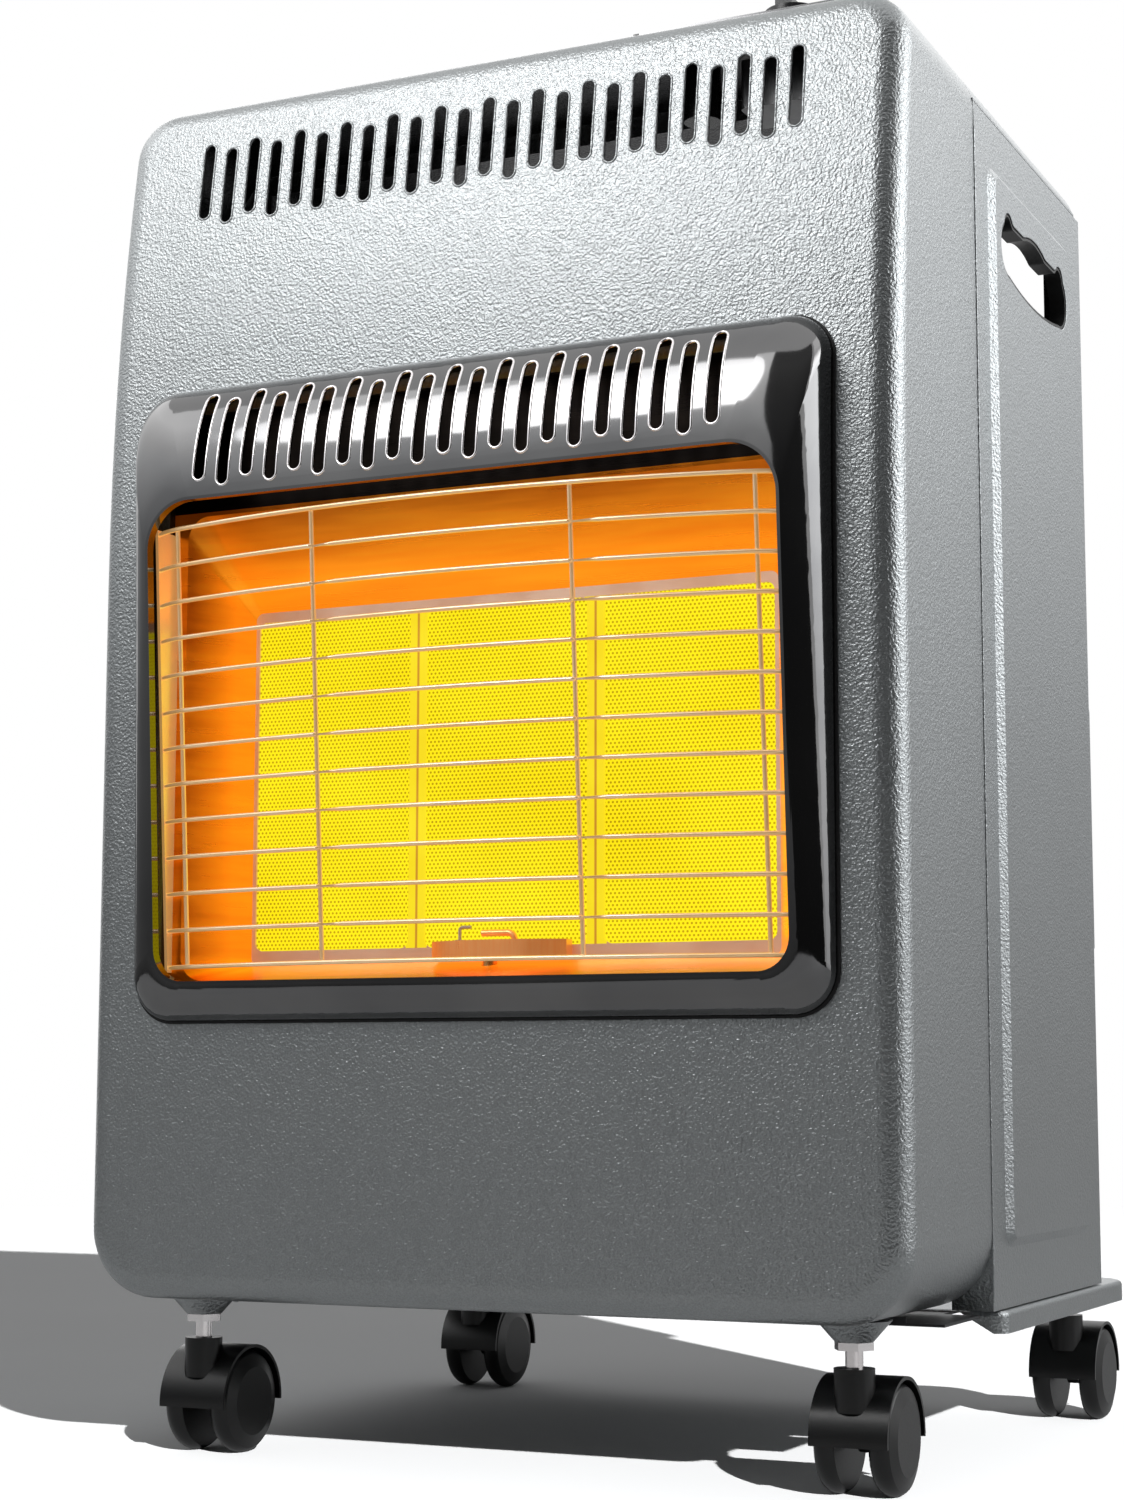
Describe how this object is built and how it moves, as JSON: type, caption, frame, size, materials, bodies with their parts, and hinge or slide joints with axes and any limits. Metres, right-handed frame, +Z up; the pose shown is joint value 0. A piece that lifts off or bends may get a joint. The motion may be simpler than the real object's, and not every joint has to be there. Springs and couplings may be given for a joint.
{
  "type": "portable gas cabinet heater",
  "caption": "Upright cabinet gas heater on swivel casters, with glowing ceramic plaques behind a wire guard, slotted vents, side hand grips and an open bay for a gas cylinder.",
  "frame": {"origin": "on the floor, midway between the sides and midway between the front of the wire guard and the back of the cylinder guard", "axes": "+X to the right of someone looking at the front, +Y from front to back, +Z up"},
  "size_m": [0.426, 0.4661, 0.6998],
  "materials": {
    "silver_coat": "fine-textured silver powder coat",
    "dark_coat": "satin black coat",
    "dark_chrome": "dark bright chrome",
    "seal": "matte",
    "bright_wire": "bright",
    "reflector_steel": "heat-tinted",
    "heat_steel": "satin",
    "plaque_ceramic": "fine-pored, glowing",
    "gas_brass": "machined",
    "gas_pipe": "drawn tube",
    "valve_alloy": "cast",
    "spindle_steel": "turned",
    "electrode_ceramic": "glazed",
    "control_plastic": "gloss black",
    "grip_plastic": "matte black",
    "hood_plastic": "satin black",
    "axle_steel": "bright",
    "wheel_plastic": "moulded black nylon"
  },
  "bodies": {
    "heater": {"base_plate": "silver_coat", "bezel": "dark_chrome", "bezel_gasket": "seal", "burner_center": "heat_steel", "burner_frame": "heat_steel", "burner_left": "heat_steel", "burner_right": "heat_steel", "caster_stems": "bright_wire", "control_pod": "dark_chrome", "front_feet": "silver_coat", "front_panel": "silver_coat", "gas_pipe_center": "gas_pipe", "gas_pipe_left": "gas_pipe", "gas_pipe_right": "gas_pipe", "gas_valve": "valve_alloy", "guard_grille": "bright_wire", "guard_pockets": "silver_coat", "handle_grip_left": "grip_plastic", "handle_grip_right": "grip_plastic", "heat_baffle": "heat_steel", "heat_shield": "heat_steel", "hose_nozzle": "gas_brass", "igniter_body": "control_plastic", "injector_bracket": "heat_steel", "injectors": "gas_brass", "pilot_burner": "gas_brass", "pilot_shield": "heat_steel", "plaque_center": "plaque_ceramic", "plaque_left": "plaque_ceramic", "plaque_right": "plaque_ceramic", "rear_feet": "silver_coat", "reflector_box": "reflector_steel", "side_panel_left": "silver_coat", "side_panel_right": "silver_coat", "spark_electrode": "electrode_ceramic", "thermocouple": "heat_steel", "top_cover": "silver_coat", "underframe": "dark_coat", "valve_bracket": "dark_coat"},
    "caster_front_left": {"caster_hood_front_left": "hood_plastic", "caster_axle_front_left": "axle_steel"},
    "wheel_front_left_left": {"caster_wheel_front_left_left": "wheel_plastic"},
    "wheel_front_left_right": {"caster_wheel_front_left_right": "wheel_plastic"},
    "caster_front_right": {"caster_hood_front_right": "hood_plastic", "caster_axle_front_right": "axle_steel"},
    "wheel_front_right_left": {"caster_wheel_front_right_left": "wheel_plastic"},
    "wheel_front_right_right": {"caster_wheel_front_right_right": "wheel_plastic"},
    "caster_rear_left": {"caster_hood_rear_left": "hood_plastic", "caster_axle_rear_left": "axle_steel"},
    "wheel_rear_left_left": {"caster_wheel_rear_left_left": "wheel_plastic"},
    "wheel_rear_left_right": {"caster_wheel_rear_left_right": "wheel_plastic"},
    "caster_rear_right": {"caster_hood_rear_right": "hood_plastic", "caster_axle_rear_right": "axle_steel"},
    "wheel_rear_right_left": {"caster_wheel_rear_right_left": "wheel_plastic"},
    "wheel_rear_right_right": {"caster_wheel_rear_right_right": "wheel_plastic"},
    "spindle": {"valve_spindle": "spindle_steel"},
    "knob": {"control_knob": "control_plastic"},
    "button": {"igniter_button": "control_plastic"},
    "cylinder_guard": {"rear_guard": "silver_coat"}
  },
  "joints": [
    {"name": "swivel_front_left", "type": "hinge", "parent": "heater", "child": "caster_front_left", "pos_m": [-0.1694, -0.14595, 0.052], "axis": [0, 0, 1], "continuous": true},
    {"name": "roll_front_left_left", "type": "hinge", "parent": "caster_front_left", "child": "wheel_front_left_left", "pos_m": [-0.1694, -0.12895, 0.025], "axis": [1, 0, 0], "continuous": true},
    {"name": "roll_front_left_right", "type": "hinge", "parent": "caster_front_left", "child": "wheel_front_left_right", "pos_m": [-0.1694, -0.12895, 0.025], "axis": [1, 0, 0], "continuous": true},
    {"name": "swivel_front_right", "type": "hinge", "parent": "heater", "child": "caster_front_right", "pos_m": [0.1694, -0.14595, 0.052], "axis": [0, 0, 1], "continuous": true},
    {"name": "roll_front_right_left", "type": "hinge", "parent": "caster_front_right", "child": "wheel_front_right_left", "pos_m": [0.1694, -0.12895, 0.025], "axis": [1, 0, 0], "continuous": true},
    {"name": "roll_front_right_right", "type": "hinge", "parent": "caster_front_right", "child": "wheel_front_right_right", "pos_m": [0.1694, -0.12895, 0.025], "axis": [1, 0, 0], "continuous": true},
    {"name": "swivel_rear_left", "type": "hinge", "parent": "heater", "child": "caster_rear_left", "pos_m": [-0.181, 0.17505, 0.052], "axis": [0, 0, 1], "continuous": true},
    {"name": "roll_rear_left_left", "type": "hinge", "parent": "caster_rear_left", "child": "wheel_rear_left_left", "pos_m": [-0.181, 0.19205, 0.025], "axis": [1, 0, 0], "continuous": true},
    {"name": "roll_rear_left_right", "type": "hinge", "parent": "caster_rear_left", "child": "wheel_rear_left_right", "pos_m": [-0.181, 0.19205, 0.025], "axis": [1, 0, 0], "continuous": true},
    {"name": "swivel_rear_right", "type": "hinge", "parent": "heater", "child": "caster_rear_right", "pos_m": [0.181, 0.17505, 0.052], "axis": [0, 0, 1], "continuous": true},
    {"name": "roll_rear_right_left", "type": "hinge", "parent": "caster_rear_right", "child": "wheel_rear_right_left", "pos_m": [0.181, 0.19205, 0.025], "axis": [1, 0, 0], "continuous": true},
    {"name": "roll_rear_right_right", "type": "hinge", "parent": "caster_rear_right", "child": "wheel_rear_right_right", "pos_m": [0.181, 0.19205, 0.025], "axis": [1, 0, 0], "continuous": true},
    {"name": "knob_push", "type": "slide", "parent": "heater", "child": "spindle", "axis": [0, 0, -1], "range_m": [0, 0.0025], "stiffness_N_per_m": 800, "springref_m": -0.002},
    {"name": "knob_turn", "type": "hinge", "parent": "spindle", "child": "knob", "pos_m": [0.1435, -0.13895, 0.69], "axis": [0, 0, 1], "range_deg": [0, 240]},
    {"name": "button_push", "type": "slide", "parent": "heater", "child": "button", "axis": [0, 0, -1], "range_m": [0, 0.004], "stiffness_N_per_m": 600, "springref_m": -0.003},
    {"name": "guard_lift", "type": "slide", "parent": "heater", "child": "cylinder_guard", "axis": [0, 0, 1], "range_m": [0, 0.06]}
  ]
}
